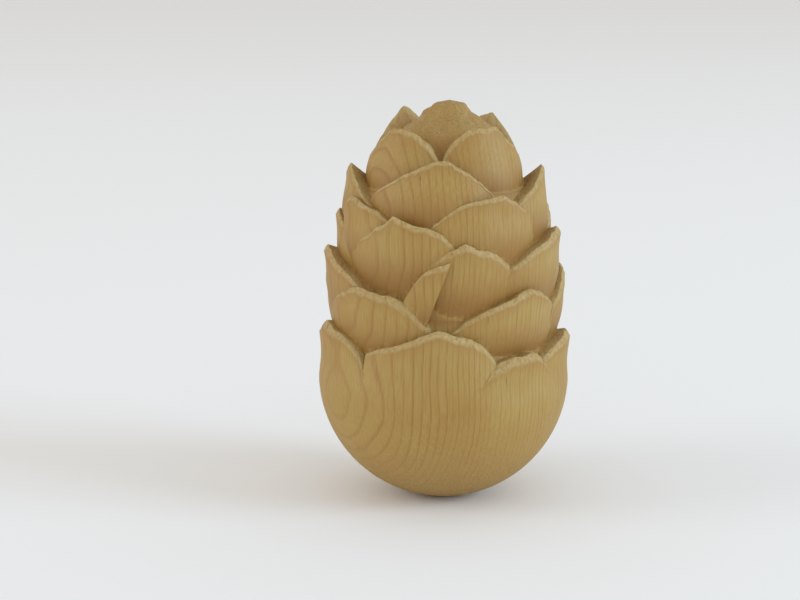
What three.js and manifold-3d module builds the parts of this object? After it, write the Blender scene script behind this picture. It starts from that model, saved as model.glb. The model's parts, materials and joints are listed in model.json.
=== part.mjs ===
// A pine cone carved from one block of stone pine wood: a turned, rounded foot and rows of
// broad pointed scales that overlap upwards to a blunt crown. Millimetres, +Z up.
// The origin is the centre of the small flat spot that the cone stands on.
import * as THREE from 'three';
import Module from 'manifold-3d';

// Overall size.
const CONE_DIAMETER = 60;
const CONE_HEIGHT = 95;

// Turned foot: a ball of the full diameter, cut flat below.
const BOWL_HALF_HEIGHT = 30;
const FLAT_SPOT_RADIUS = 5;
const BOWL_TOP = 27;

// Taper that the tips of the scales touch, above the widest place.
const TAPER_REACH = 72;
const TAPER_POWER = 2.5;

// Wood behind the scales, sunk below the taper from the top of the bowl upwards.
const CORE_DEPTH = 4.8;
const CORE_STARTS_AT = 25.5;
const CORE_FULL_AT = 43;
const CORE_HEIGHTS = [27, 28.5, 30, 32, 34.5, 37, 40, 43, 52, 60, 68, 74];

// Blunt crown: a small pyramid with its ridges rounded off downwards.
const CROWN_STARTS_AT = 79;
const CROWN_PROFILE = [
  [16.8, 79],
  [14.4, 82.6],
  [12.6, 85.8],
  [11, 88],
  [8.8, 89.6],
  [6.9, 90.9],
  [4.6, 92.6],
  [2.8, 94.3],
];
const CROWN_FACETS = 5;
const CROWN_RIDGE_ANGLE = 22;
const CROWN_SWELL = 1.08;
const CROWN_LEAN = 1.2;

// Small knob on the crown's left shoulder, which dies away round it and above and below it.
const KNOB_ANGLE = -85;
const KNOB_HEIGHT = 92.8;
const KNOB_TURN = 38;
const KNOB_RISE = 1.5;
const KNOB_SIZE = 1.4;

// Face of a scale: how it falls inwards below its tip and towards its flanks.
const SLOPE_LENGTH = 15;
const SLOPE_DEPTH = 3.8;
const BELLY = 0.08;
const FLANK_DEPTH = 1.4;
const FLANK_POWER = 2.2;
const SIDE_REACH = 1.1;
const SHEET_LENGTH = 17;
const SHEET_LOWEST = 19;

// Lowest row: its faces run out into the bowl below a slight waist.
const LOWEST_ROW = 'A';
const WAIST_DEPTH = 0.5;
const RUN_OUT_DEPTH = 0.02;
const RUN_OUT_SLOPE = 0.06;
const SEAM_DEPTH = 0.06;
const CREASE_RISE = 1.3;

// Rim of a scale: arched flanks with a small cusp at the tip, a bevel and a ledge behind it.
const TIP_CUSP = 0.12;
const CUSP_POWER = 6;
const TIP_ROUNDING = 0.06;
const RIM_RISE = 1.7;
const RIM_CUT = 1.1;
const RIM_AT_FOOT = 0.6;
const LEDGE_REACH = 6.5;
const LEDGE_LIFT_AT_FOOT = 0.15;

// Fineness of the facets.
const CORE_SIDES = 72;
const BOWL_RINGS = 13;
const COLUMN_WIDTH = 3.1;
const FEWEST_COLUMNS = 6;
const FACE_STEPS = 6;
const STEP_SPREAD = 0.85;

const RADIUS = CONE_DIAMETER / 2;
const EQUATOR_HEIGHT = BOWL_HALF_HEIGHT * Math.sqrt(1 - (FLAT_SPOT_RADIUS / RADIUS) ** 2);
const DEGREE = Math.PI / 180;

// Rows from the foot to the crown: "hollow" is the fall of the ledge behind a tip (mm per mm)
// and "rim" the size of the rim bevel (1 = full).
const ROWS = {
  A: { hollow: 0.15, rim: 1.1 },
  B: { hollow: 0.25, rim: 0.9 },
  C: { hollow: 0.35, rim: 1.0 },
  D: { hollow: 0.5, rim: 0.75 },
  E: { hollow: 0.8, rim: 0.75 },
  F: { hollow: 1.2, rim: 0.7 },
};

// The carved scales of the front. Angles in degrees from the front (-Y) towards +X, heights in mm.
// tip: [angle, height]; left, right: [angle, height, arch, rim] of the foot of each flank, where the
// arch is 0 for a straight rim and the rim is its bevel there, a share of the tip's;
// proud: how far the scale stands out from the taper; flank: share of the usual fall to its flanks.
const FRONT = [
  { row: 'A', tip: [-74, 43.8], left: [-112, 34.5, 0.3], right: [-38, 31.0, 3.0], proud: 0 },
  { row: 'A', tip: [-3, 45.6], left: [-37, 39.0, 0.0], right: [28, 35.0, 2.0, 1.1], proud: 0 },
  { row: 'A', tip: [44, 39.4], left: [13, 28.5, 3.2, 1.0], right: [64, 32.0, 0.3], proud: 0.1, flank: 0.3 },
  { row: 'A', tip: [88, 40.6], left: [50, 33.0, 2.5], right: [120, 33.5, 0.4], proud: 0.5 },
  { row: 'B', tip: [-46, 53.9], left: [-80, 45.5, 0.5], right: [-5, 42.5, 2.5, 1.8], proud: 0.2, flank: 0.6 },
  { row: 'B', tip: [47, 53.6], left: [0, 43.0, 0.5], right: [78, 45.5, 0.4], proud: 0 },
  { row: 'B', tip: [102, 55.4], left: [66, 46.0, 0.3], right: [132, 46.0, 0.4], proud: 1.2 },
  { row: 'C', tip: [-84, 61.0], left: [-120, 52.5, 0.5], right: [-43, 51.5, 0.6], proud: 0.9 },
  { row: 'C', tip: [3.5, 61.0], left: [-21, 51.0, 3.0], right: [-7, 48.0, 0.2], proud: 0.1, flank: 0.8 },
  { row: 'C', tip: [11, 64.8], left: [-14, 59.0, 0.2], right: [48, 51.5, 1.7, 1.2], proud: -0.4 },
  { row: 'C', tip: [86, 65.4], left: [37, 57.5, 1.2], right: [124, 57.0, 0.4], proud: 0.8 },
  { row: 'D', tip: [-27, 70.3], left: [-60, 61.3, 0.2], right: [12, 59.5, 2.0, 1.3], proud: 0 },
  { row: 'D', tip: [-62, 74.0], left: [-84, 68.5, 0.3], right: [-29, 68.0, 0.5], proud: -0.3 },
  { row: 'D', tip: [-90, 69.2], left: [-120, 64.0, 1.2], right: [-64, 63.0, 1.2], proud: -0.6 },
  { row: 'D', tip: [34, 75.3], left: [-4, 68.5, 2.0], right: [62, 68.0, 0.3], proud: 0 },
  { row: 'D', tip: [108, 70.4], left: [80, 63.5, 0.3], right: [136, 63.5, 0.3], proud: 0 },
  { row: 'E', tip: [-1, 83.4], left: [-51, 73.8, 0.5], right: [32, 74.5, 0.6], proud: -0.3 },
  { row: 'E', tip: [-78, 80.8], left: [-120, 72.0, 0.3], right: [-51, 71.5, 0.3], proud: 0.3 },
  { row: 'E', tip: [87, 79.8], left: [44, 71.0, 0.4], right: [122, 71.5, 0.3], proud: 0.6 },
  { row: 'F', tip: [-48, 89.4], left: [-96, 79.5, 0.0], right: [-2, 80.0, 2.0, 1.7], proud: -1.5, flank: 1.9 },
  { row: 'F', tip: [48, 89.7], left: [-2, 80.5, 3.0, 1.3], right: [96, 80.0, 0.0], proud: -1.4, flank: 1.8 },
  { row: 'F', tip: [137, 91.0], left: [98, 79.5, 0.0], right: [183, 79.5, 0.0], proud: -0.2 },
  { row: 'F', tip: [-141, 92.2], left: [-186, 79.5, 0.0], right: [-99, 79.5, 0.0], proud: -0.3 },
];

// The scales of the back carry the same rows on, evenly stepped with a small carved unevenness.
const BACK = [
  { row: 'A', first: 136, step: 48, count: 3, height: 43.0, half: 33, drop: 9 },
  { row: 'B', first: 156, step: 51, count: 3, height: 54.5, half: 36, drop: 9.5 },
  { row: 'C', first: 132, step: 49, count: 3, height: 64.5, half: 38, drop: 9.5 },
  { row: 'D', first: 156, step: 44, count: 3, height: 74.0, half: 32, drop: 7.5 },
  { row: 'E', first: 184, step: 90, count: 1, height: 82.5, half: 42, drop: 10 },
];
const BACK_SEED = 20;
const BACK_ARCH = 0.5;
const ANGLE_PLAY = 4;
const HEIGHT_PLAY = 1.2;
const PROUD_PLAY = 0.3;

function seeded(seed) {
  let state = seed;
  return () => {
    state = (state * 16807) % 2147483647;
    return state / 2147483647;
  };
}

function smooth(t) {
  const c = Math.min(Math.max(t, 0), 1);
  return c * c * (3 - 2 * c);
}

// Radius of the bowl and of the taper above it.
function outerRadius(z) {
  if (z <= EQUATOR_HEIGHT) {
    const low = (z - EQUATOR_HEIGHT) / BOWL_HALF_HEIGHT;
    return RADIUS * Math.sqrt(Math.max(1 - low * low, 0));
  }
  return RADIUS * Math.sqrt(1 - ((z - EQUATOR_HEIGHT) / TAPER_REACH) ** TAPER_POWER);
}

function coreRadius(z) {
  const sunk = smooth((z - CORE_STARTS_AT) / (CORE_FULL_AT - CORE_STARTS_AT));
  return outerRadius(z) - CORE_DEPTH * sunk;
}

// A closed solid from vertices and triangles, turned the right way out.
function makeSolid(wasm, points, triangles) {
  let volume = 0;
  for (const [a, b, c] of triangles) {
    const p = new THREE.Vector3(...points[a]);
    const q = new THREE.Vector3(...points[b]);
    volume += p.dot(q.cross(new THREE.Vector3(...points[c])));
  }
  const outward = volume > 0 ? triangles : triangles.map(([a, b, c]) => [a, c, b]);
  return new wasm.Manifold(new wasm.Mesh({
    numProp: 3,
    vertProperties: new Float32Array(points.flat()),
    triVerts: new Uint32Array(outward.flat()),
  }));
}

// Radius and height of each ring of the core, from the flat spot to the top of the crown.
function coreRings() {
  const rings = [];
  const steepest = Math.asin(EQUATOR_HEIGHT / BOWL_HALF_HEIGHT);
  const flattest = Math.asin((EQUATOR_HEIGHT - CORE_STARTS_AT) / BOWL_HALF_HEIGHT);
  for (let i = 0; i <= BOWL_RINGS; i += 1) {
    const angle = steepest + (flattest - steepest) * (i / BOWL_RINGS);
    rings.push([RADIUS * Math.cos(angle), EQUATOR_HEIGHT - BOWL_HALF_HEIGHT * Math.sin(angle)]);
  }
  for (const z of CORE_HEIGHTS) {
    rings.push([coreRadius(z), z]);
  }
  return [...rings, ...CROWN_PROFILE];
}

// How far the knob stands out from the crown.
function knobRadius(angle, z) {
  const turn = ((angle - KNOB_ANGLE + 180) % 360 - 180) / KNOB_TURN;
  const rise = (z - KNOB_HEIGHT) / KNOB_RISE;
  return KNOB_SIZE * Math.exp(-turn * turn - rise * rise);
}

// The turned core: flat spot, bowl, the wood behind the scales and the faceted crown.
function makeCore(wasm) {
  const rings = coreRings();
  const facet = (2 * Math.PI) / CROWN_FACETS;
  const points = [];
  for (const [r, z] of rings) {
    const crown = smooth((z - CROWN_STARTS_AT) / (CONE_HEIGHT - CROWN_STARTS_AT));
    for (let i = 0; i < CORE_SIDES; i += 1) {
      const angle = (i / CORE_SIDES) * 2 * Math.PI;
      const turn = (angle - CROWN_RIDGE_ANGLE * DEGREE + 2 * Math.PI) % facet;
      const flat = (CROWN_SWELL * Math.cos(facet / 2)) / Math.cos(turn - facet / 2);
      const radius = r * (1 + crown * (flat - 1)) + knobRadius(angle / DEGREE, z);
      points.push([radius * Math.sin(angle) + CROWN_LEAN * crown, -radius * Math.cos(angle), z]);
    }
  }
  const foot = points.push([0, 0, 0]) - 1;
  const top = points.push([CROWN_LEAN, 0, CONE_HEIGHT]) - 1;
  const triangles = [];
  const last = (rings.length - 1) * CORE_SIDES;
  for (let i = 0; i < CORE_SIDES; i += 1) {
    const j = (i + 1) % CORE_SIDES;
    triangles.push([foot, j, i]);
    triangles.push([top, last + i, last + j]);
    for (let low = 0; low < last; low += CORE_SIDES) {
      const high = low + CORE_SIDES;
      triangles.push([low + i, low + j, high + j]);
      triangles.push([low + i, high + j, high + i]);
    }
  }
  return makeSolid(wasm, points, triangles);
}

// Height of the rim between a foot (t = 0) and the tip (t = 1).
function rimHeight(footHeight, tipHeight, arch, t) {
  const bow = 1 - (1 - t) ** (1 + arch);
  const cusp = Math.max(t, 0) ** CUSP_POWER;
  return footHeight + (tipHeight - footHeight) * ((1 - TIP_CUSP) * bow + TIP_CUSP * cusp);
}

// How far a scale's face lies inside the taper, at u across it (-1 to 1 between its feet).
function faceDepth(scale, u, z) {
  const flank = (scale.flank ?? 1) * FLANK_DEPTH * Math.abs(u) ** FLANK_POWER;
  if (scale.row === LOWEST_ROW) {
    const up = Math.min(Math.max((z - BOWL_TOP) / (scale.tip[1] - BOWL_TOP), 0), 1);
    const waist = WAIST_DEPTH * Math.sin(Math.PI * up) ** 2;
    const runOut = RUN_OUT_DEPTH * (1 - smooth(up)) + RUN_OUT_SLOPE * Math.max(BOWL_TOP - z, 0);
    const seam = SEAM_DEPTH * u ** 4;
    return runOut + seam + waist + smooth(CREASE_RISE * up) * flank - smooth(up) * scale.proud;
  }
  const below = (scale.tip[1] - z) / SLOPE_LENGTH;
  const swell = below < 1 ? BELLY * Math.sin(2 * Math.PI * below) : 0;
  return SLOPE_DEPTH * (below + swell) + flank - scale.proud;
}

// The outline of a scale cut through at u: face from below, bevel, ledge and the sunk back.
// A scale whose right foot lies left of its tip leans over by as much.
function scaleSection(scale, u) {
  const row = ROWS[scale.row];
  const [tipAngle, tipHeight] = scale.tip;
  const foot = u < 0 ? scale.left : scale.right;
  const lean = Math.max(tipAngle - scale.right[0], 0) / (tipHeight - scale.right[1]);
  const footAngle = foot[0] - lean * (foot[1] - tipHeight);
  const place = (z, radius) => {
    const angle = (tipAngle + Math.abs(u) * (footAngle - tipAngle) + lean * (z - tipHeight)) * DEGREE;
    return [radius * Math.sin(angle), -radius * Math.cos(angle), z];
  };
  const t = 1 + TIP_ROUNDING - Math.hypot(u, TIP_ROUNDING);
  const footRim = foot[3] ?? RIM_AT_FOOT;
  const rim = row.rim * (footRim + (1 - footRim) * smooth(t));
  const crest = rimHeight(foot[1], tipHeight, foot[2], t);
  const arris = crest - RIM_RISE * rim;
  const lip = outerRadius(arris) - faceDepth(scale, u, arris) - RIM_CUT * rim;
  const fall = row.hollow * smooth(t) - LEDGE_LIFT_AT_FOOT * (1 - smooth(t));
  const lowest = Math.max(Math.min(scale.left[1], scale.right[1]) - SHEET_LENGTH, SHEET_LOWEST);
  const section = [];
  for (let k = 0; k <= FACE_STEPS; k += 1) {
    const z = lowest + (arris - lowest) * (k / FACE_STEPS) ** STEP_SPREAD;
    section.push(place(z, outerRadius(z) - faceDepth(scale, u, z)));
  }
  section.push(place(crest, lip));
  section.push(place(crest - fall * LEDGE_REACH, lip - LEDGE_REACH));
  section.push(place(lowest, Math.min(lip, coreRadius(lowest)) - LEDGE_REACH));
  return section;
}

function makeScale(wasm, scale) {
  const turn = (scale.right[0] - scale.left[0]) * SIDE_REACH * DEGREE;
  const width = turn * outerRadius(scale.tip[1]);
  const columns = Math.max(FEWEST_COLUMNS, 2 * Math.round(width / COLUMN_WIDTH / 2));
  const sections = [];
  for (let i = 0; i <= columns; i += 1) {
    sections.push(scaleSection(scale, SIDE_REACH * ((2 * i) / columns - 1)));
  }
  const count = sections[0].length;
  const triangles = [];
  for (let i = 0; i < columns; i += 1) {
    for (let j = 0; j < count; j += 1) {
      const a = i * count + j;
      const b = i * count + ((j + 1) % count);
      triangles.push([a, a + count, b + count]);
      triangles.push([a, b + count, b]);
    }
  }
  const back = count - 1;
  const end = columns * count;
  for (let j = 0; j < back - 1; j += 1) {
    triangles.push([back, j, j + 1]);
    triangles.push([end + back, end + j + 1, end + j]);
  }
  return makeSolid(wasm, sections.flat(), triangles);
}

function backScales() {
  const draw = seeded(BACK_SEED);
  const play = (size) => (draw() * 2 - 1) * size;
  const scales = [];
  for (const { row, first, step, count, height, half, drop } of BACK) {
    for (let i = 0; i < count; i += 1) {
      const tip = [first + i * step + play(ANGLE_PLAY), height + play(HEIGHT_PLAY)];
      const feet = tip[1] - drop;
      const left = [tip[0] - half + play(ANGLE_PLAY), feet + play(HEIGHT_PLAY), BACK_ARCH];
      const right = [tip[0] + half + play(ANGLE_PLAY), feet + play(HEIGHT_PLAY), BACK_ARCH];
      scales.push({ row, tip, left, right, proud: play(PROUD_PLAY) });
    }
  }
  return scales;
}

const wasm = await Module();
wasm.setup();
let body = makeCore(wasm);
for (const scale of [...FRONT, ...backScales()]) {
  body = body.add(makeScale(wasm, scale));
}
const { vertProperties, triVerts } = body.getMesh();
const geometry = new THREE.BufferGeometry();
geometry.setAttribute('position', new THREE.BufferAttribute(new Float32Array(vertProperties), 3));
geometry.setIndex(new THREE.BufferAttribute(new Uint32Array(triVerts), 1));
geometry.computeVertexNormals();

const wood = new THREE.MeshStandardMaterial({ color: 0xd8b878, roughness: 0.65, metalness: 0 });
const carvedCone = new THREE.Mesh(geometry, wood);
carvedCone.name = 'carved_cone';

const cone = new THREE.Group();
cone.name = 'stone_pine_cone';
cone.add(carvedCone);

export default cone;
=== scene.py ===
"""The finished look of a pine cone carved from one block of stone pine wood.

The cone is turned to a bowl below, and cut above into rows of broad pointed scales. Shapes are worked
out in millimetres in the frame's own axes, and each mesh is brought to metres when it is done.
"""

import json
import logging
import math
from dataclasses import dataclass, field
from enum import Enum
from typing import Any

import bpy
from bpy.types import NodeSocket, NodeTree
from mathutils import Matrix, Vector, noise

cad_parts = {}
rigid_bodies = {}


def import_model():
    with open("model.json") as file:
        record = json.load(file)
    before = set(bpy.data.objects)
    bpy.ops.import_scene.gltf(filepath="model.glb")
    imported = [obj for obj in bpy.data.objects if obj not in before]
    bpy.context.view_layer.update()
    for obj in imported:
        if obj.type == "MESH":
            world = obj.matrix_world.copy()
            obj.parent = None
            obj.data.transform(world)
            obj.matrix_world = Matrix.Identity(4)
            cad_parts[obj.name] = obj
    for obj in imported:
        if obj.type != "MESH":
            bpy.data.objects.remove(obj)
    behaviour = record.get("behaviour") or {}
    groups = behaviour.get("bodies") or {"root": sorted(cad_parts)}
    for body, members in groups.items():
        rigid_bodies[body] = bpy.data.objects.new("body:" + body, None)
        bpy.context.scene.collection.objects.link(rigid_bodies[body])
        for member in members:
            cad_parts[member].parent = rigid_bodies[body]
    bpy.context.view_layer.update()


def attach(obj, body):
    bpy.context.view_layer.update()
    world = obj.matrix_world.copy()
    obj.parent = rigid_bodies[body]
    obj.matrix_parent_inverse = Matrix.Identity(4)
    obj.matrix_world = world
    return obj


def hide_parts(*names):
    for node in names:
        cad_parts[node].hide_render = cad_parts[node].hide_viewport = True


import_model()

log = logging.getLogger("stone_pine_cone")

METRES_PER_MM = 0.001
RIM_ATTRIBUTE = "rim"
# Burnish and a painted glow along the arris below each rim.
EDGE_GLOW_ATTRIBUTE = "edge"
# Painted shade: a darker colour in the hollows behind and below the scales and on the ledges.
PAINTED_SHADE_ATTRIBUTE = "painted_shade"
NOISE_MEAN = 0.5
DRAW_FACTOR = 16807
DRAW_RANGE = 2147483647


def add_node(
    tree: NodeTree,
    kind: str,
    settings: dict[str, Any] | None = None,
    inputs: dict[int | str, Any] | None = None,
) -> bpy.types.Node:
    """Adds one node to a tree.

    Args:
        tree: The tree that gets the node.
        kind: The node's type name.
        settings: Values for the node's own properties.
        inputs: A value, a Field or another node's socket for each named or numbered input.

    Returns:
        The new node.
    """
    node = tree.nodes.new(kind)
    for name, value in (settings or {}).items():
        setattr(node, name, value)
    for key, value in (inputs or {}).items():
        source = value.socket if isinstance(value, Field) else value
        if isinstance(source, NodeSocket):
            tree.links.new(source, node.inputs[key])
        else:
            node.inputs[key].default_value = source
    return node


class Field:
    """A number that a node tree works out at every point, with plain arithmetic."""

    def __init__(self, tree: NodeTree, socket: NodeSocket) -> None:
        """Wraps a socket of a tree."""
        self.tree = tree
        self.socket = socket

    def apply(self, operation: str, *values: "Field | float") -> "Field":
        """Puts values through one Math node, in the order of its inputs."""
        node = add_node(self.tree, "ShaderNodeMath", {"operation": operation}, dict(enumerate(values)))
        return Field(self.tree, node.outputs[0])

    def __add__(self, other: "Field | float") -> "Field":
        """Adds."""
        return self.apply("ADD", self, other)

    def __radd__(self, other: float) -> "Field":
        """Adds, from the right."""
        return self.apply("ADD", other, self)

    def __sub__(self, other: "Field | float") -> "Field":
        """Subtracts."""
        return self.apply("SUBTRACT", self, other)

    def __rsub__(self, other: float) -> "Field":
        """Subtracts from a plain number."""
        return self.apply("SUBTRACT", other, self)

    def __mul__(self, other: "Field | float") -> "Field":
        """Multiplies."""
        return self.apply("MULTIPLY", self, other)

    def __rmul__(self, other: float) -> "Field":
        """Multiplies, from the right."""
        return self.apply("MULTIPLY", other, self)

    def __truediv__(self, other: "Field | float") -> "Field":
        """Divides."""
        return self.apply("DIVIDE", self, other)

    def __pow__(self, other: "Field | float") -> "Field":
        """Raises to a power."""
        return self.apply("POWER", self, other)

    def __mod__(self, other: "Field | float") -> "Field":
        """Gives the remainder."""
        return self.apply("FLOORED_MODULO", self, other)

    def __abs__(self) -> "Field":
        """Drops the sign."""
        return self.apply("ABSOLUTE", self)

    def root(self) -> "Field":
        """Gives the square root."""
        return self.apply("SQRT", self)

    def sine(self) -> "Field":
        """Gives the sine of an angle in radians."""
        return self.apply("SINE", self)

    def cosine(self) -> "Field":
        """Gives the cosine of an angle in radians."""
        return self.apply("COSINE", self)

    def at_least(self, other: "Field | float") -> "Field":
        """Gives the larger of two."""
        return self.apply("MAXIMUM", self, other)

    def at_most(self, other: "Field | float") -> "Field":
        """Gives the smaller of two."""
        return self.apply("MINIMUM", self, other)

    def above(self, other: "Field | float") -> "Field":
        """Gives 1 where it is the larger, else 0."""
        return self.apply("GREATER_THAN", self, other)

    def clamped(self) -> "Field":
        """Keeps it between 0 and 1."""
        return self.at_least(0.0).at_most(1.0)

    def smooth(self) -> "Field":
        """Eases it from 0 to 1."""
        part = self.clamped()
        return part * part * (3.0 - 2.0 * part)

    def mix(self, low: "Field | float", high: "Field | float") -> "Field":
        """Goes from low, where this is 0, to high, where it is 1."""
        return self * high + (1.0 - self) * low


def vector_math(tree: NodeTree, operation: str, inputs: dict[int | str, Any]) -> NodeSocket:
    """Puts vectors through one Vector Math node."""
    return add_node(tree, "ShaderNodeVectorMath", {"operation": operation}, inputs).outputs[0]


def add_object(name: str, data: Any, home: bpy.types.Collection | None = None) -> bpy.types.Object:
    """Makes an object of a mesh, a light or a camera.

    Args:
        name: Its name.
        data: What it shows.
        home: The collection it goes in, or None for the scene's own.

    Returns:
        The object.
    """
    made = bpy.data.objects.new(name, data)
    (home or bpy.context.scene.collection).objects.link(made)
    return made


def smooth(value: float) -> float:
    """Eases a number along an S curve from 0, below 0, to 1, above 1."""
    part = min(max(value, 0.0), 1.0)
    return part * part * (3.0 - 2.0 * part)


def linear_colour(code: str) -> tuple[float, float, float, float]:
    """Turns an sRGB hex colour to linear.

    Args:
        code: Six hex digits after a number sign.

    Returns:
        Linear red, green and blue, and an alpha of 1.
    """
    parts = [int(code[i : i + 2], 16) / 255 for i in (1, 3, 5)]
    linear = [p / 12.92 if p <= 0.04045 else ((p + 0.055) / 1.055) ** 2.4 for p in parts]
    return (linear[0], linear[1], linear[2], 1.0)


@dataclass(frozen=True)
class RowStyle:
    """How one row is cut: the ledge's fall behind a tip, the rim's size, and the tip's sharpness."""

    hollow: float
    rim: float
    cusp: float


class Row(Enum):
    """The rows of scales, from the bowl up to the crown."""

    A = RowStyle(hollow=0.15, rim=1.1, cusp=1.0)
    B = RowStyle(hollow=0.25, rim=0.9, cusp=0.7)
    C = RowStyle(hollow=0.35, rim=1.0, cusp=1.0)
    D = RowStyle(hollow=0.5, rim=0.75, cusp=1.0)
    E = RowStyle(hollow=0.8, rim=0.75, cusp=1.0)
    F = RowStyle(hollow=1.2, rim=0.7, cusp=0.0)


@dataclass(frozen=True)
class Foot:
    """Where a flank of a scale ends: angle in degrees and height in millimetres.

    The arch is 0 where the flank's rim runs straight up to the tip, more where it rises early and
    levels out, and less where it sags. The rim is the size of its bevel there, as a share of the
    bevel at the tip.
    """

    angle: float
    height: float
    arch: float
    rim: float = 0.6


@dataclass(frozen=True)
class Scale:
    """One scale: its tip, its two feet, how far it stands out, and how much its flanks fall back."""

    row: Row
    tip_angle: float
    tip_height: float
    left: Foot
    right: Foot
    proud: float = 0.0
    flank: float = 1.0

    @property
    def lean(self) -> float:
        """Degrees per millimetre that it leans over, where its right foot lies left of its tip."""
        return max(self.tip_angle - self.right.angle, 0.0) / (self.tip_height - self.right.height)

    def straight_angle(self, foot: Foot) -> float:
        """Gives a foot's angle with the lean taken out."""
        return foot.angle - self.lean * (foot.height - self.tip_height)


FRONT_SCALES = (
    Scale(Row.A, -74, 43.8, Foot(-112, 34.5, 0.3), Foot(-38, 31.0, 3.0)),
    Scale(Row.A, -3, 45.6, Foot(-37, 39.0, 0.0), Foot(28, 35.0, 2.0, 1.1)),
    Scale(Row.A, 44, 39.4, Foot(11, 28.0, 3.2, 1.5), Foot(64, 32.0, 0.3), 0.5, 0.3),
    Scale(Row.A, 88, 40.6, Foot(50, 33.0, 2.5), Foot(120, 33.5, 0.4), 0.5),
    Scale(Row.B, -46, 53.9, Foot(-80, 45.5, 0.5), Foot(-5, 42.5, 2.5, 1.8), 0.2, 0.6),
    Scale(Row.B, 47, 53.6, Foot(0, 43.0, 0.5), Foot(78, 45.5, 0.4)),
    Scale(Row.B, 102, 55.4, Foot(66, 46.0, 0.3), Foot(132, 46.0, 0.4), 1.2),
    Scale(Row.C, -84, 61.0, Foot(-120, 52.5, 0.5), Foot(-43, 51.5, 0.6), 0.9),
    Scale(Row.C, 3.5, 61.0, Foot(-21, 51.0, 3.0), Foot(-7, 48.0, 0.2), 0.1, 0.8),
    Scale(Row.C, 11, 64.8, Foot(-14, 59.0, 0.2), Foot(48, 51.5, 1.7, 1.2), -0.4),
    Scale(Row.C, 86, 65.4, Foot(37, 57.5, 1.2), Foot(124, 57.0, 0.4), 0.8),
    Scale(Row.D, -27, 70.3, Foot(-60, 61.3, 0.2), Foot(12, 59.5, 2.0, 1.3)),
    Scale(Row.D, -62, 74.0, Foot(-84, 68.5, 0.3), Foot(-29, 68.0, 0.5), -0.3),
    Scale(Row.D, -90, 69.2, Foot(-120, 64.0, 1.2), Foot(-64, 63.0, 1.2), -0.6),
    Scale(Row.D, 34, 75.3, Foot(-4, 68.5, 2.0), Foot(62, 68.0, 0.3)),
    Scale(Row.D, 108, 70.4, Foot(80, 63.5, 0.3), Foot(136, 63.5, 0.3)),
    Scale(Row.E, -1, 83.4, Foot(-51, 73.8, 0.5), Foot(32, 74.5, 0.6), -0.3),
    Scale(Row.E, -78, 80.8, Foot(-120, 72.0, 0.3), Foot(-51, 71.5, 0.3), 0.3),
    Scale(Row.E, 87, 79.8, Foot(44, 71.0, 0.4), Foot(122, 71.5, 0.3), 0.6),
    Scale(Row.F, -48, 89.4, Foot(-96, 79.5, -0.25), Foot(-2, 80.0, 2.0, 1.7), -1.5, 1.9),
    Scale(Row.F, 48, 89.7, Foot(-2, 80.5, 3.0, 1.3), Foot(96, 80.0, -0.3), -1.4, 1.9),
    Scale(Row.F, 137, 90.8, Foot(108, 79.5, 0.15), Foot(183, 79.5, 0.5), -0.2),
    Scale(Row.F, -141, 92.0, Foot(-186, 79.5, 0.5), Foot(-110, 79.5, 0.15), -0.3),
)


@dataclass(frozen=True)
class BackRow:
    """The scales that carry a row on round the back, evenly stepped before their carved unevenness."""

    row: Row
    first: float
    step: float
    count: int
    height: float
    half: float
    drop: float


BACK_ROWS = (
    BackRow(Row.A, 136, 48, 3, 43.0, 33, 9),
    BackRow(Row.B, 156, 51, 3, 54.5, 36, 9.5),
    BackRow(Row.C, 132, 49, 3, 64.5, 38, 9.5),
    BackRow(Row.D, 156, 44, 3, 74.0, 32, 7.5),
    BackRow(Row.E, 184, 90, 1, 82.5, 42, 10),
)


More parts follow.
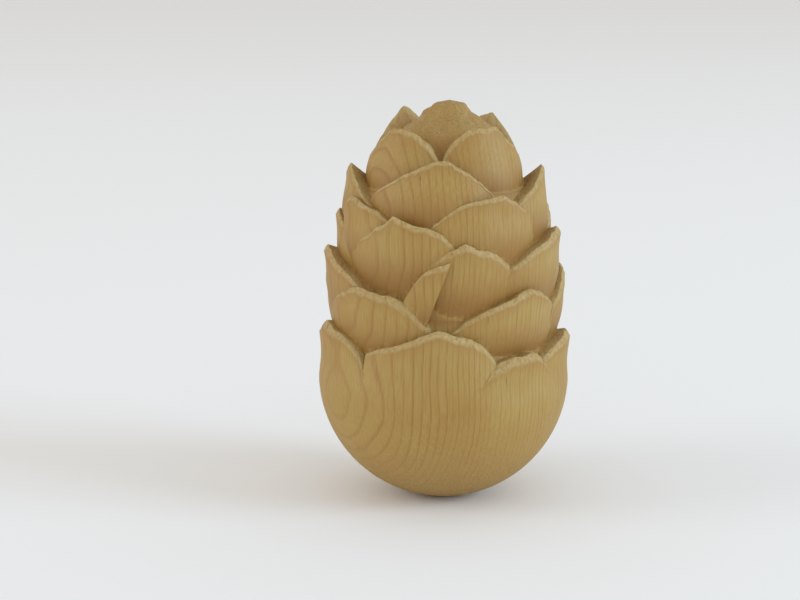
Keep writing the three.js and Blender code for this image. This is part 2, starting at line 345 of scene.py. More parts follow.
@dataclass(frozen=True)
class StonePine:
    """Untreated Swiss stone pine, sanded on the faces and cut rough across the fibres on the rims.

    The wood is pale cream with soft, narrow orange latewood lines, fine fibres along the trunk and
    scattered resin canals, which show as short brown dashes, or as dots on end grain. It has a dull
    natural surface: an IOR of about 1.5 under a roughness of a half or more.
    """

    early_wood: str = "#AD8F4B"
    warm_wood: str = "#A57E38"
    late_wood: str = "#966428"
    resin: str = "#5E3A1B"
    end_grain: str = "#AC8D55"
    # Partly a real burnish and partly a painted glow of light along the arrises.
    torn_wood: str = "#BDA46F"
    burnish_and_painted_glow: str = "#9F7335"
    # A painted shade colour for the hollows and the ledges, not a colour of the wood.
    painted_shade_wood: str = "#8E5F26"
    pith_angle: float = -54.0
    pith_distance: float = 160.0
    early_ring: float = 1.65
    late_ring: float = 1.25
    slowed_at: float = 146.0
    ring_shift: float = 0.65
    late_starts: float = 0.3
    late_stops: float = 0.9
    line_starts: float = 0.66
    line_width: float = 0.22
    late_share: float = 0.4
    line_share: float = 0.45
    faintest_year: float = 0.3
    late_lost_on_end: float = 0.4
    warp_length: float = 24.0
    warp_size: float = 1.5
    ripple_length: float = 7.0
    ripple_size: float = 0.6
    warp_stretch: float = 0.45
    warp_octaves: float = 1.0
    fibre_width: float = 0.3
    fibre_length: float = 7.0
    fibre_octaves: float = 3.0
    dark_fibres: float = 1.2
    pale_fibres: float = 1.0
    canal_spacing: float = 3.2
    canal_length: float = 34.0
    canal_width: float = 0.2
    canal_share: float = 0.75
    tone_length: float = 17.0
    tone_starts: float = 0.35
    tone_contrast: float = 2.2
    end_starts: float = 0.25
    end_width: float = 0.6
    end_share: float = 0.6
    speckle_width: float = 0.5
    speckle_contrast: float = 3.0
    cloud_octaves: float = 2.0
    torn_width: float = 0.7
    torn_length: float = 2.2
    torn_starts: float = 0.25
    torn_contrast: float = 2.4
    # How strongly the burnish and painted glow warm the arris.
    burnish_and_glow_share: float = 0.45
    # How strongly the painted shade darkens the colour.
    painted_shade_share: float = 0.7
    ior: float = 1.5
    roughness: float = 0.58
    end_roughness: float = 0.2
    fibre_roughness: float = 0.1
    fibre_depth: float = 0.05
    late_depth: float = 0.02
    torn_depth: float = 0.45

    def build(self) -> bpy.types.Material:
        """Makes the material, patterned in millimetres of Object coordinates.

        Returns:
            The finished wood.
        """
        material = bpy.data.materials.new("stone_pine")
        material.use_nodes = True
        tree = material.node_tree
        tree.nodes.clear()
        coords = add_node(tree, "ShaderNodeTexCoord")
        place = vector_math(tree, "SCALE", {0: coords.outputs["Object"], "Scale": 1 / METRES_PER_MM})
        warped = self._warp(tree, place)
        across = self._fibres(tree, warped, self.fibre_width, self.fibre_length)
        late = self._late_wood(self._ring_phase(tree, warped))
        end = self._end_grain(tree, coords.outputs["Normal"])
        canal = self._canals(tree, warped)
        tone = self._clouds(tree, place, self.tone_length)
        speckle = self._clouds(tree, place, self.speckle_width)
        torn = self._fibres(tree, place, self.torn_width, self.torn_length)
        rim = self._mark(tree, RIM_ATTRIBUTE)
        edge = self._mark(tree, EDGE_GLOW_ATTRIBUTE)
        # Painted shade, stored on the points by the carving.
        painted_shade = self._mark(tree, PAINTED_SHADE_ATTRIBUTE)
        cut_across = end * (1.0 - rim)
        layers = (
            ((tone - self.tone_starts) * self.tone_contrast, self.warm_wood),
            (late * (1.0 - self.late_lost_on_end * end), self.late_wood),
            (cut_across * self.end_share, self.end_grain),
            ((across - NOISE_MEAN) * self.dark_fibres, self.late_wood),
            ((NOISE_MEAN - across) * self.pale_fibres, self.torn_wood),
            (cut_across * (speckle - NOISE_MEAN) * self.speckle_contrast, self.late_wood),
            # Burnish and painted glow along the arris.
            (edge * self.burnish_and_glow_share, self.burnish_and_painted_glow),
            (rim * (1.0 - painted_shade) * (torn - self.torn_starts) * self.torn_contrast, self.torn_wood),
            # Painted shade in the hollows and on the ledges.
            (painted_shade * self.painted_shade_share, self.painted_shade_wood),
            (canal, self.resin),
        )
        colour = linear_colour(self.early_wood)
        for share, code in layers:
            colour = self._mix(tree, share, colour, linear_colour(code))
        roughness = self.roughness + end * self.end_roughness
        roughness = roughness + (across - NOISE_MEAN) * self.fibre_roughness
        relief = self._relief(torn, across, late, rim.at_least(end))
        inputs = {"Base Color": colour, "Roughness": roughness, "IOR": self.ior, "Normal": relief}
        shader = add_node(tree, "ShaderNodeBsdfPrincipled", inputs=inputs)
        add_node(tree, "ShaderNodeOutputMaterial", inputs={"Surface": shader.outputs[0]})
        return material

    def _mark(self, tree: NodeTree, name: str) -> Field:
        """Reads one of the values that the carving stores on its points: rim, painted glow at the arris,
        painted shade.
        """
        node = add_node(tree, "ShaderNodeAttribute", {"attribute_name": name})
        return Field(tree, node.outputs["Fac"])

    def _mix(self, tree: NodeTree, share: Field, low: Any, high: Any) -> NodeSocket:
        """Mixes two colours by the share of the second."""
        settings = {"data_type": "RGBA", "clamp_factor": True}
        return add_node(tree, "ShaderNodeMix", settings, {"Factor": share, 6: low, 7: high}).outputs[2]

    def _clouds(self, tree: NodeTree, place: Any, grain: float) -> Field:
        """Gives soft clouds of a size in millimetres, about a half on average."""
        inputs = {"Vector": place, "Scale": 1 / grain, "Detail": self.cloud_octaves}
        return Field(tree, add_node(tree, "ShaderNodeTexNoise", inputs=inputs).outputs["Fac"])

    def _fibres(self, tree: NodeTree, place: Any, width: float, length: float) -> Field:
        """Gives streaks along the trunk, of a width and a length in millimetres, a half on average.

        Args:
            tree: The material's tree.
            place: Position in millimetres.
            width: The width of a streak.
            length: Its length.

        Returns:
            The streaks.
        """
        drawn = vector_math(tree, "MULTIPLY", {0: place, 1: (1 / width, 1 / width, 1 / length)})
        inputs = {"Vector": drawn, "Scale": 1.0, "Detail": self.fibre_octaves}
        return Field(tree, add_node(tree, "ShaderNodeTexNoise", inputs=inputs).outputs["Fac"])

    def _warp(self, tree: NodeTree, place: Any) -> NodeSocket:
        """Bends the trunk's grain a little, widely and finely.

        Args:
            tree: The material's tree.
            place: Position in millimetres.

        Returns:
            The bent position.
        """
        bent = place
        stretched = vector_math(tree, "MULTIPLY", {0: place, 1: (1.0, 1.0, self.warp_stretch)})
        for length, size in ((self.warp_length, self.warp_size), (self.ripple_length, self.ripple_size)):
            inputs = {"Vector": stretched, "Scale": 1 / length, "Detail": self.warp_octaves}
            swing = add_node(tree, "ShaderNodeTexNoise", inputs=inputs).outputs["Color"]
            centred = vector_math(tree, "SUBTRACT", {0: swing, 1: (NOISE_MEAN, NOISE_MEAN, NOISE_MEAN)})
            shift = vector_math(tree, "MULTIPLY", {0: centred, 1: (2 * size, 2 * size, 0.0)})
            bent = vector_math(tree, "ADD", {0: bent, 1: shift})
        return bent

    def _ring_phase(self, tree: NodeTree, place: Any) -> Field:
        """Counts growth rings out from the pith, which get narrower as the tree ages.

        Args:
            tree: The material's tree.
            place: Position in millimetres.

        Returns:
            The number of rings out, with its fraction.
        """
        angle = math.radians(self.pith_angle)
        pith = (self.pith_distance * math.sin(angle), -self.pith_distance * math.cos(angle), 0.0)
        arm = vector_math(tree, "SUBTRACT", {0: place, 1: pith})
        flat = vector_math(tree, "MULTIPLY", {0: arm, 1: (1.0, 1.0, 0.0)})
        length = add_node(tree, "ShaderNodeVectorMath", {"operation": "LENGTH"}, {0: flat})
        radius = Field(tree, length.outputs["Value"])
        slowing = (radius - self.slowed_at).at_least(0.0) * (1 / self.late_ring - 1 / self.early_ring)
        return radius * (1 / self.early_ring) + slowing + self.ring_shift

    def _late_wood(self, ring: Field) -> Field:
        """Darkens the end of each year's growth: slowly up to the line, then at once pale again.

        Args:
            ring: The number of rings out.

        Returns:
            The share of latewood.
        """
        part = ring % 1.0
        year = ring.apply("FLOOR", ring)
        chance = add_node(ring.tree, "ShaderNodeTexWhiteNoise", {"noise_dimensions": "1D"}, {"W": year})
        strength = Field(ring.tree, chance.outputs["Value"]).mix(self.faintest_year, 1.0)
        slow = ((part - self.late_starts) / (1.0 - self.late_starts)).clamped() ** 2.0
        ends = 1.0 - ((part - self.late_stops) / (1.0 - self.late_stops)).smooth()
        line = ((part - self.line_starts) / self.line_width).smooth()
        return strength * ends * (self.late_share * slow + self.line_share * line)

    def _end_grain(self, tree: NodeTree, normal: Any) -> Field:
        """Finds where the surface cuts across the fibres.

        Args:
            tree: The material's tree.
            normal: The surface's normal in Object coordinates.

        Returns:
            0 along the fibres, 1 across them.
        """
        split = add_node(tree, "ShaderNodeSeparateXYZ", inputs={0: normal})
        steep = abs(Field(tree, split.outputs["Z"]))
        return ((steep - self.end_starts) / self.end_width).smooth()

    def _canals(self, tree: NodeTree, place: Any) -> Field:
        """Scatters resin canals, thin threads along the trunk.

        Args:
            tree: The material's tree.
            place: Position in millimetres.

        Returns:
            1 on a canal, else 0.
        """
        stretch = (1 / self.canal_spacing, 1 / self.canal_spacing, 1 / self.canal_length)
        drawn = vector_math(tree, "MULTIPLY", {0: place, 1: stretch})
        cells = add_node(tree, "ShaderNodeTexVoronoi", inputs={"Vector": drawn, "Scale": 1.0})
        near = Field(tree, cells.outputs["Distance"])
        edge = 0.5 * self.canal_width / self.canal_spacing
        return self.canal_share * (1.0 - ((near - edge / 2) / edge).smooth())

    def _relief(self, torn: Field, across: Field, late: Field, rough: Field) -> NodeSocket:
        """Raises the surface: fine fibres, proud latewood, and torn fibres across the rims.

        Args:
            torn: The torn fibres.
            across: The fine fibres.
            late: The share of latewood.
            rough: Where the wood is torn, not sanded.

        Returns:
            The bent normal.
        """
        sanded = across * self.fibre_depth + late * self.late_depth
        height = rough.mix(sanded, torn * self.torn_depth)
        inputs = {"Strength": 1.0, "Distance": METRES_PER_MM, "Height": height}
        return add_node(height.tree, "ShaderNodeBump", inputs=inputs).outputs[0]


@dataclass
class CarvedCone:
    """The one block of wood: a turned bowl and core with rows of scales cut from it. Millimetres."""

    wood: StonePine = field(default_factory=StonePine)
    radius: float = 30.0
    height: float = 95.0
    bowl_half_height: float = 30.0
    flat_radius: float = 5.0
    bowl_top: float = 27.0
    taper_reach: float = 72.0
    taper_power: float = 2.5
    core_depth: float = 4.8
    core_starts: float = 25.0
    core_full: float = 43.0
    # How the painted shade on the core fades in above the bowl and out on the crown.
    core_shade_fade: float = 6.0
    crown_shade_rise: float = 3.0
    crown_shade_fade: float = 7.0
    crown_start: float = 79.0
    crown_profile: tuple[tuple[float, float], ...] = (
        (16.8, 79.0),
        (14.4, 82.6),
        (12.6, 85.8),
        (11.0, 88.0),
        (8.8, 89.6),
        (6.9, 90.9),
        (4.6, 92.6),
        (2.8, 94.3),
    )
    crown_steps: int = 4
    crown_facets: int = 5
    crown_ridge: float = 22.0
    crown_swell: float = 1.08
    crown_lean: float = 1.2
    knob_angle: float = -85.0
    knob_height: float = 92.8
    knob_turn: float = 38.0
    knob_rise: float = 1.5
    knob_size: float = 1.4
    chip_length: float = 2.2
    chip_size: float = 1.1
    slope_length: float = 15.0
    slope_depth: float = 3.8
    belly: float = 0.08
    flank_depth: float = 1.4
    flank_power: float = 2.2
    side_reach: float = 1.1
    sheet_length: float = 17.0
    sheet_lowest: float = 19.0
    waist_depth: float = 0.5
    run_out_depth: float = 0.004
    run_out_slope: float = 0.03
    seam_depth: float = 0.06
    seam_power: float = 4.0
    crease_rise: float = 1.3
    tip_cusp: float = 0.12
    cusp_power: float = 6.0
    tip_rounding: float = 0.05
    crest_waves: float = 3.2
    crest_wave: float = 0.6
    crest_nicks: float = 12.0
    crest_nick: float = 0.2
    rim_rise: float = 1.7
    rim_cut: float = 1.1
    rim_roundness: float = 0.3
    # The burnish and painted glow along the arris: its width, and its share at the feet.
    edge_width: float = 1.8
    edge_at_foot: float = 0.5
    rim_chips: float = 9.0
    rim_chip: float = 0.45
    rim_chip_at_foot: float = 0.4
    rim_mark: float = 2.5
    gouges_per_mm: float = 0.13
    gouge_depth: float = 1.0
    gouge_starts: float = 33.0
    gouge_fade: float = 8.0
    strokes_per_mm: float = 1.0
    stroke_stretch: float = 0.3
    stroke_depth: float = 0.5
    # Painted shade down each scale: where it starts and where it is full, and how fast it fills the
    # ledge.
    shade_starts: float = 0.35
    shade_full: float = 1.05
    ledge_shade: float = 1.6
    ledge_reach: float = 6.5
    ledge_lift: float = 0.15
    back_arch: float = 0.5
    angle_play: float = 4.0
    height_play: float = 1.2
    proud_play: float = 0.3
    seed: int = 20
    seed_step: float = 7.3
    column_width: float = 0.86
    fewest_columns: int = 24
    face_points: int = 21
    rim_points: int = 5
    ledge_points: int = 4
    core_sides: int = 140
    bowl_rings: int = 36
    close_ring: float = 1.0
    wide_ring: float = 4.0
    crease_angle: float = 32.0

    @property
    def equator(self) -> float:
        """Height of the widest place."""
        return self.bowl_half_height * math.sqrt(1 - (self.flat_radius / self.radius) ** 2)

    @property
    def section_points(self) -> int:
        """Points round the outline of a scale cut through."""
        return self.face_points + self.rim_points + self.ledge_points + 1

    def outer_radius(self, z: float) -> float:
        """Gives the radius of the bowl and of the taper above it.

        Args:
            z: Height.

        Returns:
            Radius at that height.
        """
        low = min((z - self.equator) / self.bowl_half_height, 0.0)
        high = max((z - self.equator) / self.taper_reach, 0.0)
        bowl = math.sqrt(max(1 - low * low, 0.0))
        return self.radius * min(bowl, math.sqrt(1 - high**self.taper_power))

    def core_radius(self, z: float) -> float:
        """Gives the radius of the wood behind the scales at a height."""
        sunk = smooth((z - self.core_starts) / (self.core_full - self.core_starts))
        return self.outer_radius(z) - self.core_depth * sunk

    def core_rings(self) -> list[tuple[float, float]]:
        """Lists radius and height of each ring of the core, from the flat spot to the top.

        Returns:
            The rings in order.
        """
        rings = []
        steepest = math.asin(self.equator / self.bowl_half_height)
        flattest = math.asin((self.equator - self.core_starts) / self.bowl_half_height)
        for i in range(self.bowl_rings + 1):
            angle = steepest + (flattest - steepest) * i / self.bowl_rings
            height = self.equator - self.bowl_half_height * math.sin(angle)
            rings.append((self.radius * math.cos(angle), height))
        z = self.core_starts + self.close_ring
        while z < self.crown_start - self.close_ring:
            rings.append((self.core_radius(z), z))
            z += self.close_ring if z < self.core_full else self.wide_ring
        return [*rings, *self.crown_rings()]

    def crown_rings(self) -> list[tuple[float, float]]:
        """Rounds the crown's profile with a curve through its points.

        Returns:
            Finer rings of the crown.
        """
        points = [Vector((r, z)) for r, z in self.crown_profile]
        first = points[0] * 2 - points[1]
        last = Vector((0.0, self.height))
        line = [first, *points, last]
        rings = []
        for a, b, c, d in zip(line, line[1:], line[2:], line[3:]):
            for step in range(self.crown_steps):
                t = step / self.crown_steps
                curve = 2 * b + (c - a) * t + (2 * a - 5 * b + 4 * c - d) * t**2
                curve = (curve + (3 * b - a - 3 * c + d) * t**3) / 2
                rings.append((curve.x, curve.y))
        rings.append(self.crown_profile[-1])
        return rings

    def core_shade(self, z: float) -> float:
        """Gives the painted shade on the core, which darkens its colour in the hollows.

        Args:
            z: Height.

        Returns:
            0 in the open, 1 behind the scales.
        """
        starts = smooth((z - self.core_starts) / self.core_shade_fade)
        ends = smooth((z - self.crown_start - self.crown_shade_rise) / self.crown_shade_fade)
        return starts * (1 - ends)

    def knob(self, angle: float, z: float) -> float:
        """Gives how far the knob on the crown's shoulder stands out.

        Args:
            angle: Angle in degrees from the front towards +X.
            z: Height.

        Returns:
            Extra radius there.
        """
        turn = ((angle - self.knob_angle + 180) % 360 - 180) / self.knob_turn
        rise = (z - self.knob_height) / self.knob_rise
        return self.knob_size * math.exp(-turn * turn - rise * rise)

    def turn_core(self) -> bpy.types.Mesh:
        """Turns the bowl, the wood behind the scales and the faceted crown.

        Returns:
            A closed mesh in millimetres.
        """
        rings = self.core_rings()
        facet = 2 * math.pi / self.crown_facets
        points = []
        for r, z in rings:
            crown = smooth((z - self.crown_start) / (self.height - self.crown_start))
            for i in range(self.core_sides):
                angle = 2 * math.pi * i / self.core_sides
                turn = (angle - math.radians(self.crown_ridge)) % facet
                flat = self.crown_swell * math.cos(facet / 2) / math.cos(turn - facet / 2)
                out = r * (1 + crown * (flat - 1)) + self.knob(math.degrees(angle), z)
                place = Vector((out * math.sin(angle), out * math.cos(angle), z))
                chip = self.chip_size * noise.noise(place / self.chip_length)
                out += chip * crown * min(out / self.chip_length, 1)
                side = out * math.sin(angle) + self.crown_lean * crown
                points.append((side, -out * math.cos(angle), z))
        foot = len(points)
        points.append((0.0, 0.0, 0.0))
        points.append((self.crown_lean, 0.0, self.height))
        faces = []
        last = (len(rings) - 1) * self.core_sides
        for i in range(self.core_sides):
            j = (i + 1) % self.core_sides
            faces.append((foot, j, i))
            faces.append((foot + 1, last + i, last + j))
            for low in range(0, last, self.core_sides):
                high = low + self.core_sides
                faces.append((low + i, low + j, high + j, high + i))
        mesh = bpy.data.meshes.new("core")
        mesh.from_pydata(points, [], faces)
        for name in (RIM_ATTRIBUTE, EDGE_GLOW_ATTRIBUTE):
            mesh.attributes.new(name, "FLOAT", "POINT")
        # Painted shade on the core behind the scales.
        painted_shade = mesh.attributes.new(PAINTED_SHADE_ATTRIBUTE, "FLOAT", "POINT")
        painted_shade.data.foreach_set("value", [self.core_shade(point[2]) for point in points])
        return mesh

    def scales(self) -> list[Scale]:
        """Lists every scale: the carved front and the back that carries its rows on.

        Returns:
            The scales.
        """
        state = self.seed

        def play(size: float) -> float:
            """Draws a small unevenness.

            Args:
                size: Its greatest size.

            Returns:
                A number between minus and plus that size.
            """
            nonlocal state
            state = state * DRAW_FACTOR % DRAW_RANGE
            return (state / DRAW_RANGE * 2 - 1) * size

        scales = list(FRONT_SCALES)
        for row in BACK_ROWS:
            for i in range(row.count):
                angle = row.first + i * row.step + play(self.angle_play)
                height = row.height + play(self.height_play)
                feet = []
                for side in (-1, 1):
                    foot_angle = angle + side * row.half + play(self.angle_play)
                    foot_height = height - row.drop + play(self.height_play)
                    feet.append(Foot(foot_angle, foot_height, self.back_arch))
                scales.append(Scale(row.row, angle, height, feet[0], feet[1], play(self.proud_play)))
        return scales

    def scale_inputs(self, scale: Scale, index: int) -> dict[str, float]:
        """Gives the carving tree's inputs for one scale.

        Args:
            scale: The scale.
            index: Its number, which seeds its unevenness.

        Returns:
            A value for each named input.
        """
        lowest = max(min(scale.left.height, scale.right.height) - self.sheet_length, self.sheet_lowest)
        span = math.radians(scale.right.angle - scale.left.angle)
        width = span * self.side_reach * self.outer_radius(scale.tip_height)
        inputs = {
            "Columns": max(self.fewest_columns, round(width / self.column_width)),
            "Tip Angle": scale.tip_angle,
            "Tip Height": scale.tip_height,
            "Lean": scale.lean,
            "Proud": scale.proud,
            "Flank": scale.flank,
            "Hollow": scale.row.value.hollow,
            "Rim": scale.row.value.rim,
            "Cusp": scale.row.value.cusp * self.tip_cusp,
            "Lowest": lowest,
            "Back Radius": self.core_radius(lowest) - self.ledge_reach,
            "Runs Out": 1.0 if scale.row is Row.A else 0.0,
            "Seed": index * self.seed_step,
        }
        for side, foot in (("Left", scale.left), ("Right", scale.right)):
            inputs[f"{side} Angle"] = scale.straight_angle(foot)
            inputs[f"{side} Height"] = foot.height
            inputs[f"{side} Arch"] = foot.arch
            inputs[f"{side} Rim"] = foot.rim
        return inputs

    def carving_tree(self, material: bpy.types.Material) -> NodeTree:
        """Builds the node tree that carves one scale as a closed solid.

        A cylinder is bent into the scale: its length runs across the scale from foot to foot, and the
        points round it follow the outline of the scale cut through, which goes up the face, over the
        rim, in along the ledge and down the back, sunk in the core. Bending turns the cylinder inside
        out, so its faces are flipped back.

        Args:
            material: The wood.

        Returns:
            The tree.
        """
        tree = bpy.data.node_groups.new("carve_scale", "GeometryNodeTree")
        tree.interface.new_socket("Geometry", in_out="INPUT", socket_type="NodeSocketGeometry")
        for name in self.scale_inputs(FRONT_SCALES[0], 0):
            kind = "NodeSocketInt" if name == "Columns" else "NodeSocketFloat"
            tree.interface.new_socket(name, in_out="INPUT", socket_type=kind)
        tree.interface.new_socket("Geometry", in_out="OUTPUT", socket_type="NodeSocketGeometry")
        entry = add_node(tree, "NodeGroupInput")
        given = {s.name: Field(tree, s) for s in entry.outputs if s.name}
        sizes = {
            "Vertices": self.section_points,
            "Side Segments": given["Columns"],
            "Radius": 1.0,
            "Depth": 2.0,
        }
        shape = add_node(tree, "GeometryNodeMeshCylinder", {"fill_type": "NGON"}, sizes)
        place, marks = self._scale_place(tree, given)
        settings = {"data_type": "FLOAT", "domain": "POINT"}
        for name, value in marks.items():
            inputs = {"Geometry": shape.outputs[0], "Name": name, "Value": value}
            shape = add_node(tree, "GeometryNodeStoreNamedAttribute", settings, inputs)
        steps = (
            ("GeometryNodeSetPosition", {"Position": place}),
            ("GeometryNodeSetPosition", {"Offset": self._tool_marks(tree, given["Seed"])}),
            ("GeometryNodeFlipFaces", {}),
            ("GeometryNodeRealizeInstances", {}),
            ("GeometryNodeSetMaterial", {"Material": material}),
        )
        for kind, inputs in steps:
            shape = add_node(tree, kind, inputs={0: shape.outputs[0], **inputs})
        add_node(tree, "NodeGroupOutput", inputs={0: shape.outputs[0]})
        return tree

    def _scale_place(
        self, tree: NodeTree, given: dict[str, Field]
    ) -> tuple[NodeSocket, dict[str, Field]]:
        """Works out where each point of the bar goes.

        Args:
            tree: The carving tree.
            given: The tree's inputs by name.

        Returns:
            The place, and three marks that run from 0 to 1: how far over the rim a point is, how much
            burnish and painted glow it gets near the arris below the rim, and how much painted shade it
            gets in the hollows behind and below the scales and on the ledges behind the rims.
        """
        index = Field(tree, add_node(tree, "GeometryNodeInputIndex").outputs[0])
        start = add_node(tree, "GeometryNodeInputPosition")
        split = add_node(tree, "ShaderNodeSeparateXYZ", inputs={0: start.outputs[0]})
        across = Field(tree, split.outputs["Z"]) * self.side_reach
        step = index % float(self.section_points)

        side = across.above(0.0)
        foot_angle, foot_height, arch, foot_rim = [
            side.mix(given[f"Left {name}"], given[f"Right {name}"])
            for name in ("Angle", "Height", "Arch", "Rim")
        ]
        rounding = self.tip_rounding
        along = 1.0 + rounding - (across * across + rounding**2).root()
        near_tip = along.smooth()
        chips = self._waver(across * self.rim_chips - given["Seed"], self.rim_chip)
        chips = chips * near_tip.mix(self.rim_chip_at_foot, 1.0)
        rim = given["Rim"] * near_tip.mix(foot_rim, 1.0) * (1.0 + chips)
        bow = 1.0 - (1.0 - along) ** (arch + 1.0)
        cusp = along.at_least(0.0) ** self.cusp_power
        arc = given["Cusp"].mix(bow, cusp)
        crest = foot_height + (given["Tip Height"] - foot_height) * arc
        crest = crest + self._waver(across * self.crest_waves + given["Seed"], self.crest_wave)
        crest = crest + self._waver(across * self.crest_nicks + given["Seed"], self.crest_nick)
        arris = crest - self.rim_rise * rim

        face = (step / (self.face_points - 1)).clamped()
        over = ((step - (self.face_points - 1)) / self.rim_points).clamped()
        inward = ((step - (self.face_points + self.rim_points - 1)) / self.ledge_points).clamped()
        round_rise = (over * (math.pi / 2)).sine() * self.rim_roundness + over * (1 - self.rim_roundness)
        round_cut = (1.0 - (over * (math.pi / 2)).cosine()) * self.rim_roundness
        round_cut = round_cut + over * (1 - self.rim_roundness)
        fall = given["Hollow"] * near_tip - self.ledge_lift * (1.0 - near_tip)

        face_height = given["Lowest"] + (arris - given["Lowest"]) * face
        surface = self._outer_field(face_height) - self._depth_field(given, across, face_height)
        height = face_height + self.rim_rise * rim * round_rise - self.ledge_reach * fall * inward
        radius = surface - self.rim_cut * rim * round_cut - self.ledge_reach * inward
        last = step.above(self.section_points - 1.5)
        height = last.mix(height, given["Lowest"])
        radius = last.mix(radius, given["Back Radius"])

        lean = given["Lean"] * (height - given["Tip Height"])
        angle = given["Tip Angle"] + abs(across) * (foot_angle - given["Tip Angle"]) + lean
        radians = angle * math.radians(1)
        spot = {"X": radius * radians.sine(), "Y": radius * radians.cosine() * -1.0, "Z": height}
        place = add_node(tree, "ShaderNodeCombineXYZ", inputs=spot)
        # Burnish and painted glow, strongest at the arris and near the tip.
        edge = (1.0 - (arris - height) / self.edge_width).clamped() * (1.0 - over)
        # Painted shade: low on each scale but not on the bowl's row, and full on the ledge behind the
        # rim.
        below = (given["Tip Height"] - height) / self.slope_length
        low = ((below - self.shade_starts) / (self.shade_full - self.shade_starts)).smooth()
        low = low * (1.0 - given["Runs Out"])
        marks = {
            RIM_ATTRIBUTE: (over * self.rim_mark).clamped(),
            EDGE_GLOW_ATTRIBUTE: edge * near_tip.mix(self.edge_at_foot, 1.0),
            PAINTED_SHADE_ATTRIBUTE: over.mix(low, (inward * self.ledge_shade).clamped()),
        }
        return place.outputs[0], marks

    def _waver(self, where: Field, size: float) -> Field:
        """Gives a hand-cut line its unevenness.

        Args:
            where: Place along the line, with the scale's seed in it.
            size: About its greatest swing either way.

        Returns:
            The swing.
        """
        inputs = {"W": where, "Scale": 1.0, "Detail": 1.0}
        swing = add_node(where.tree, "ShaderNodeTexNoise", {"noise_dimensions": "1D"}, inputs)
        return (Field(where.tree, swing.outputs[0]) - NOISE_MEAN) * (2 * size)

    def _outer_field(self, z: Field) -> Field:
        """Gives the radius of the bowl and the taper, as outer_radius does, in the tree.

        Args:
            z: Height.

        Returns:
            Radius at that height.
        """
        low = ((z - self.equator) / self.bowl_half_height).at_most(0.0)
        high = ((z - self.equator) / self.taper_reach).at_least(0.0)
        bowl = (1.0 - low * low).root()
        taper = (1.0 - high**self.taper_power).root()
        return self.radius * bowl.at_most(taper)

    def _depth_field(self, given: dict[str, Field], across: Field, z: Field) -> Field:
        """Gives how far a scale's face lies inside the taper.

        Args:
            given: The tree's inputs by name.
            across: Place across the scale, -1 to 1 between its feet.
            z: Height.

        Returns:
            Depth below the taper.
        """
        flank = given["Flank"] * self.flank_depth * abs(across) ** self.flank_power
        below = (given["Tip Height"] - z) / self.slope_length
        swell = self.belly * (below.at_most(1.0) * (2 * math.pi)).sine()
        upper = self.slope_depth * (below + swell) + flank - given["Proud"]
        up = ((z - self.bowl_top) / (given["Tip Height"] - self.bowl_top)).clamped()
        wave = (up * math.pi).sine()
        run_out = self.run_out_depth * (1.0 - up.smooth()) + self.seam_depth * across**self.seam_power
        run_out = run_out + self.run_out_slope * (self.bowl_top - z).at_least(0.0)
        lowest = run_out + self.waist_depth * wave * wave
        lowest = lowest + (self.crease_rise * up).smooth() * flank - up.smooth() * given["Proud"]
        return given["Runs Out"].mix(upper, lowest)

    def _tool_marks(self, tree: NodeTree, seed: Field) -> NodeSocket:
        """Moves the finished points in and out: soft gouge facets on faces, torn strokes on rims.

        Args:
            tree: The carving tree.
            seed: The scale's seed.

        Returns:
            An offset for each point.
        """
        place = add_node(tree, "GeometryNodeInputPosition").outputs[0]
        height = Field(tree, add_node(tree, "ShaderNodeSeparateXYZ", inputs={0: place}).outputs["Z"])
        settings = {"data_type": "FLOAT"}
        mark = add_node(tree, "GeometryNodeInputNamedAttribute", settings, {"Name": RIM_ATTRIBUTE})
        rim = Field(tree, mark.outputs["Attribute"])
        inputs = {"Vector": place, "W": seed, "Scale": self.gouges_per_mm, "Detail": 1.0}
        soft = add_node(tree, "ShaderNodeTexNoise", {"noise_dimensions": "4D"}, inputs)
        drawn = vector_math(tree, "MULTIPLY", {0: place, 1: (1.0, 1.0, self.stroke_stretch)})
        inputs = {"Vector": drawn, "Scale": self.strokes_per_mm, "Detail": 2.0}
        torn = add_node(tree, "ShaderNodeTexNoise", inputs=inputs)
        gouge = (Field(tree, soft.outputs[0]) - NOISE_MEAN) * self.gouge_depth
        gouge = gouge * ((height - self.gouge_starts) / self.gouge_fade).smooth()
        stroke = (Field(tree, torn.outputs[0]) - NOISE_MEAN) * self.stroke_depth
        flat = vector_math(tree, "MULTIPLY", {0: place, 1: (1.0, 1.0, 0.0)})
        outward = vector_math(tree, "NORMALIZE", {0: flat})
        return vector_math(tree, "SCALE", {0: outward, "Scale": rim.mix(gouge, stroke)})

    def carve(self) -> bpy.types.Object:
        """Makes the whole cone: turns the core, carves the scales and joins them in one solid.

        Returns:
            The finished object, in metres at the origin.
        """
        material = self.wood.build()
        tree = self.carving_tree(material)
        sockets = {s.name: s.identifier for s in tree.interface.items_tree if s.in_out == "INPUT"}
        core = add_object("core", self.turn_core())
        core.data.materials.append(material)
        shapes = bpy.data.collections.new("scale_shapes")
        bpy.context.scene.collection.children.link(shapes)
        for index, scale in enumerate(self.scales()):
            blank = add_object("scale", bpy.data.meshes.new("scale"), shapes)
            modifier = blank.modifiers.new("carve", "NODES")
            modifier.node_group = tree
            for name, value in self.scale_inputs(scale, index).items():
                modifier[sockets[name]] = value
            self._settle(blank)
        union = core.modifiers.new("join", "BOOLEAN")
        union.operation = "UNION"
        union.solver = "MANIFOLD"
        union.operand_type = "COLLECTION"
        union.collection = shapes
        self._settle(core)
        for blank in list(shapes.objects):
            bpy.data.objects.remove(blank)
        bpy.data.collections.remove(shapes)
        core.name = "carved_cone_wood"
        core.data.name = core.name
        self._finish_surface(core.data)
        return core

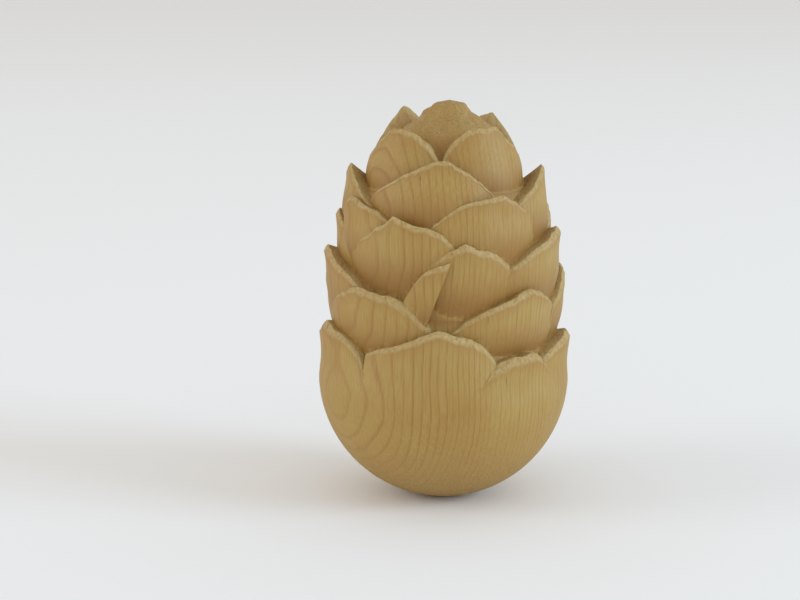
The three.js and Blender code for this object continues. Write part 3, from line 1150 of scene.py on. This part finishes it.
    def _settle(self, piece: bpy.types.Object) -> None:
        """Turns a piece with modifiers into a plain mesh.

        Args:
            piece: The object, which keeps its name.
        """
        graph = bpy.context.evaluated_depsgraph_get()
        mesh = bpy.data.meshes.new_from_object(piece.evaluated_get(graph))
        piece.modifiers.clear()
        piece.data = mesh

    def _finish_surface(self, mesh: bpy.types.Mesh) -> None:
        """Brings the mesh to metres and shades it smooth between its creases.

        Args:
            mesh: The joined mesh, in millimetres.
        """
        mesh.transform(Matrix.Scale(METRES_PER_MM, 4))
        mesh.shade_smooth()
        mesh.set_sharp_from_angle(angle=math.radians(self.crease_angle))
        mesh.update()


@dataclass(frozen=True)
class Softbox:
    """A square soft light that hangs in a place and points at the cone. Metres and watts."""

    name: str
    place: tuple[float, float, float]
    size: float
    watts: float
    colour: str


@dataclass(frozen=True)
class PaperFloor:
    """Pale matt backdrop paper: hardly any gloss, so nearly full roughness."""

    colour: str = "#FBF9F5"
    roughness: float = 0.9

    def build(self) -> bpy.types.Material:
        """Makes the material.

        Returns:
            The finished paper.
        """
        material = bpy.data.materials.new("pale_floor")
        material.use_nodes = True
        shader = material.node_tree.nodes["Principled BSDF"]
        shader.inputs["Base Color"].default_value = linear_colour(self.colour)
        shader.inputs["Roughness"].default_value = self.roughness
        return material


@dataclass
class Studio:
    """A plain pale floor, soft lights and the photograph's viewpoint. Metres."""

    paper: PaperFloor = field(default_factory=PaperFloor)
    softboxes: tuple[Softbox, ...] = (
        Softbox("right_softbox", (2.0, -0.55, 0.8), 1.0, 25.0, "#C8E3FF"),
        Softbox("left_softbox", (-2.0, -0.45, 0.8), 1.0, 10.0, "#EEF6FF"),
    )
    floor_size: float = 8.0
    camera_place: tuple[float, float, float] = (0.0, -0.446, 0.1374)
    camera_pitch: float = 11.45
    camera_turn: float = 1.34
    lens: float = 85.5
    sensor: float = 36.0
    nearest: float = 0.01
    aim: tuple[float, float, float] = (0.0, 0.0, 0.045)
    wall_light: float = 0.97
    ceiling_light: float = 0.54

    def build(self) -> None:
        """Sets up the floor, the lights, the surroundings and the camera."""
        self._floor()
        for softbox in self.softboxes:
            self._hang(softbox)
        self._surroundings()
        self._camera()

    def _floor(self) -> None:
        """Lays a large plain floor, with the cone standing on it."""
        half = self.floor_size / 2
        mesh = bpy.data.meshes.new("floor")
        corners = [(-half, -half, 0), (half, -half, 0), (half, half, 0), (-half, half, 0)]
        mesh.from_pydata(corners, [], [(0, 1, 2, 3)])
        mesh.materials.append(self.paper.build())
        add_object("floor", mesh)

    def _hang(self, softbox: Softbox) -> None:
        """Hangs one softbox.

        Args:
            softbox: Which one.
        """
        light = bpy.data.lights.new(softbox.name, "AREA")
        light.size = softbox.size
        light.energy = softbox.watts
        light.color = linear_colour(softbox.colour)[:3]
        lamp = add_object(softbox.name, light)
        lamp.location = softbox.place
        aim = Vector(self.aim) - Vector(softbox.place)
        lamp.rotation_euler = aim.to_track_quat("-Z", "Y").to_euler()

    def _surroundings(self) -> None:
        """Fills the room with white light, brighter from the walls than from the ceiling."""
        world = bpy.data.worlds.new("white_room")
        world.use_nodes = True
        tree = world.node_tree
        coords = add_node(tree, "ShaderNodeTexCoord")
        split = add_node(tree, "ShaderNodeSeparateXYZ", inputs={0: coords.outputs["Generated"]})
        height = Field(tree, split.outputs["Z"]).clamped()
        strength = height.mix(self.wall_light, self.ceiling_light)
        background = tree.nodes["Background"]
        tree.links.new(strength.socket, background.inputs["Strength"])
        background.inputs["Color"].default_value = linear_colour("#FFFFFF")
        bpy.context.scene.world = world

    def _camera(self) -> None:
        """Sets the camera where the photograph was taken from."""
        lens = bpy.data.cameras.new("photo_view")
        lens.lens = self.lens
        lens.sensor_width = self.sensor
        lens.clip_start = self.nearest
        camera = add_object("photo_view", lens)
        camera.location = self.camera_place
        tilt = math.radians(90 - self.camera_pitch)
        camera.rotation_euler = (tilt, 0.0, math.radians(self.camera_turn))
        bpy.context.scene.camera = camera
        bpy.context.scene.view_settings.view_transform = "Standard"


def main() -> None:
    """Builds the studio and the cone, and sets the cone in the frame."""
    logging.basicConfig(level=logging.INFO, format="%(name)s: %(message)s")
    Studio().build()
    cone = CarvedCone().carve()
    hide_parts("carved_cone")
    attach(cone, "root")
    cone.data.calc_loop_triangles()
    log.info("%s: %d triangles", cone.name, len(cone.data.loop_triangles))


if __name__ == "__main__":
    main()
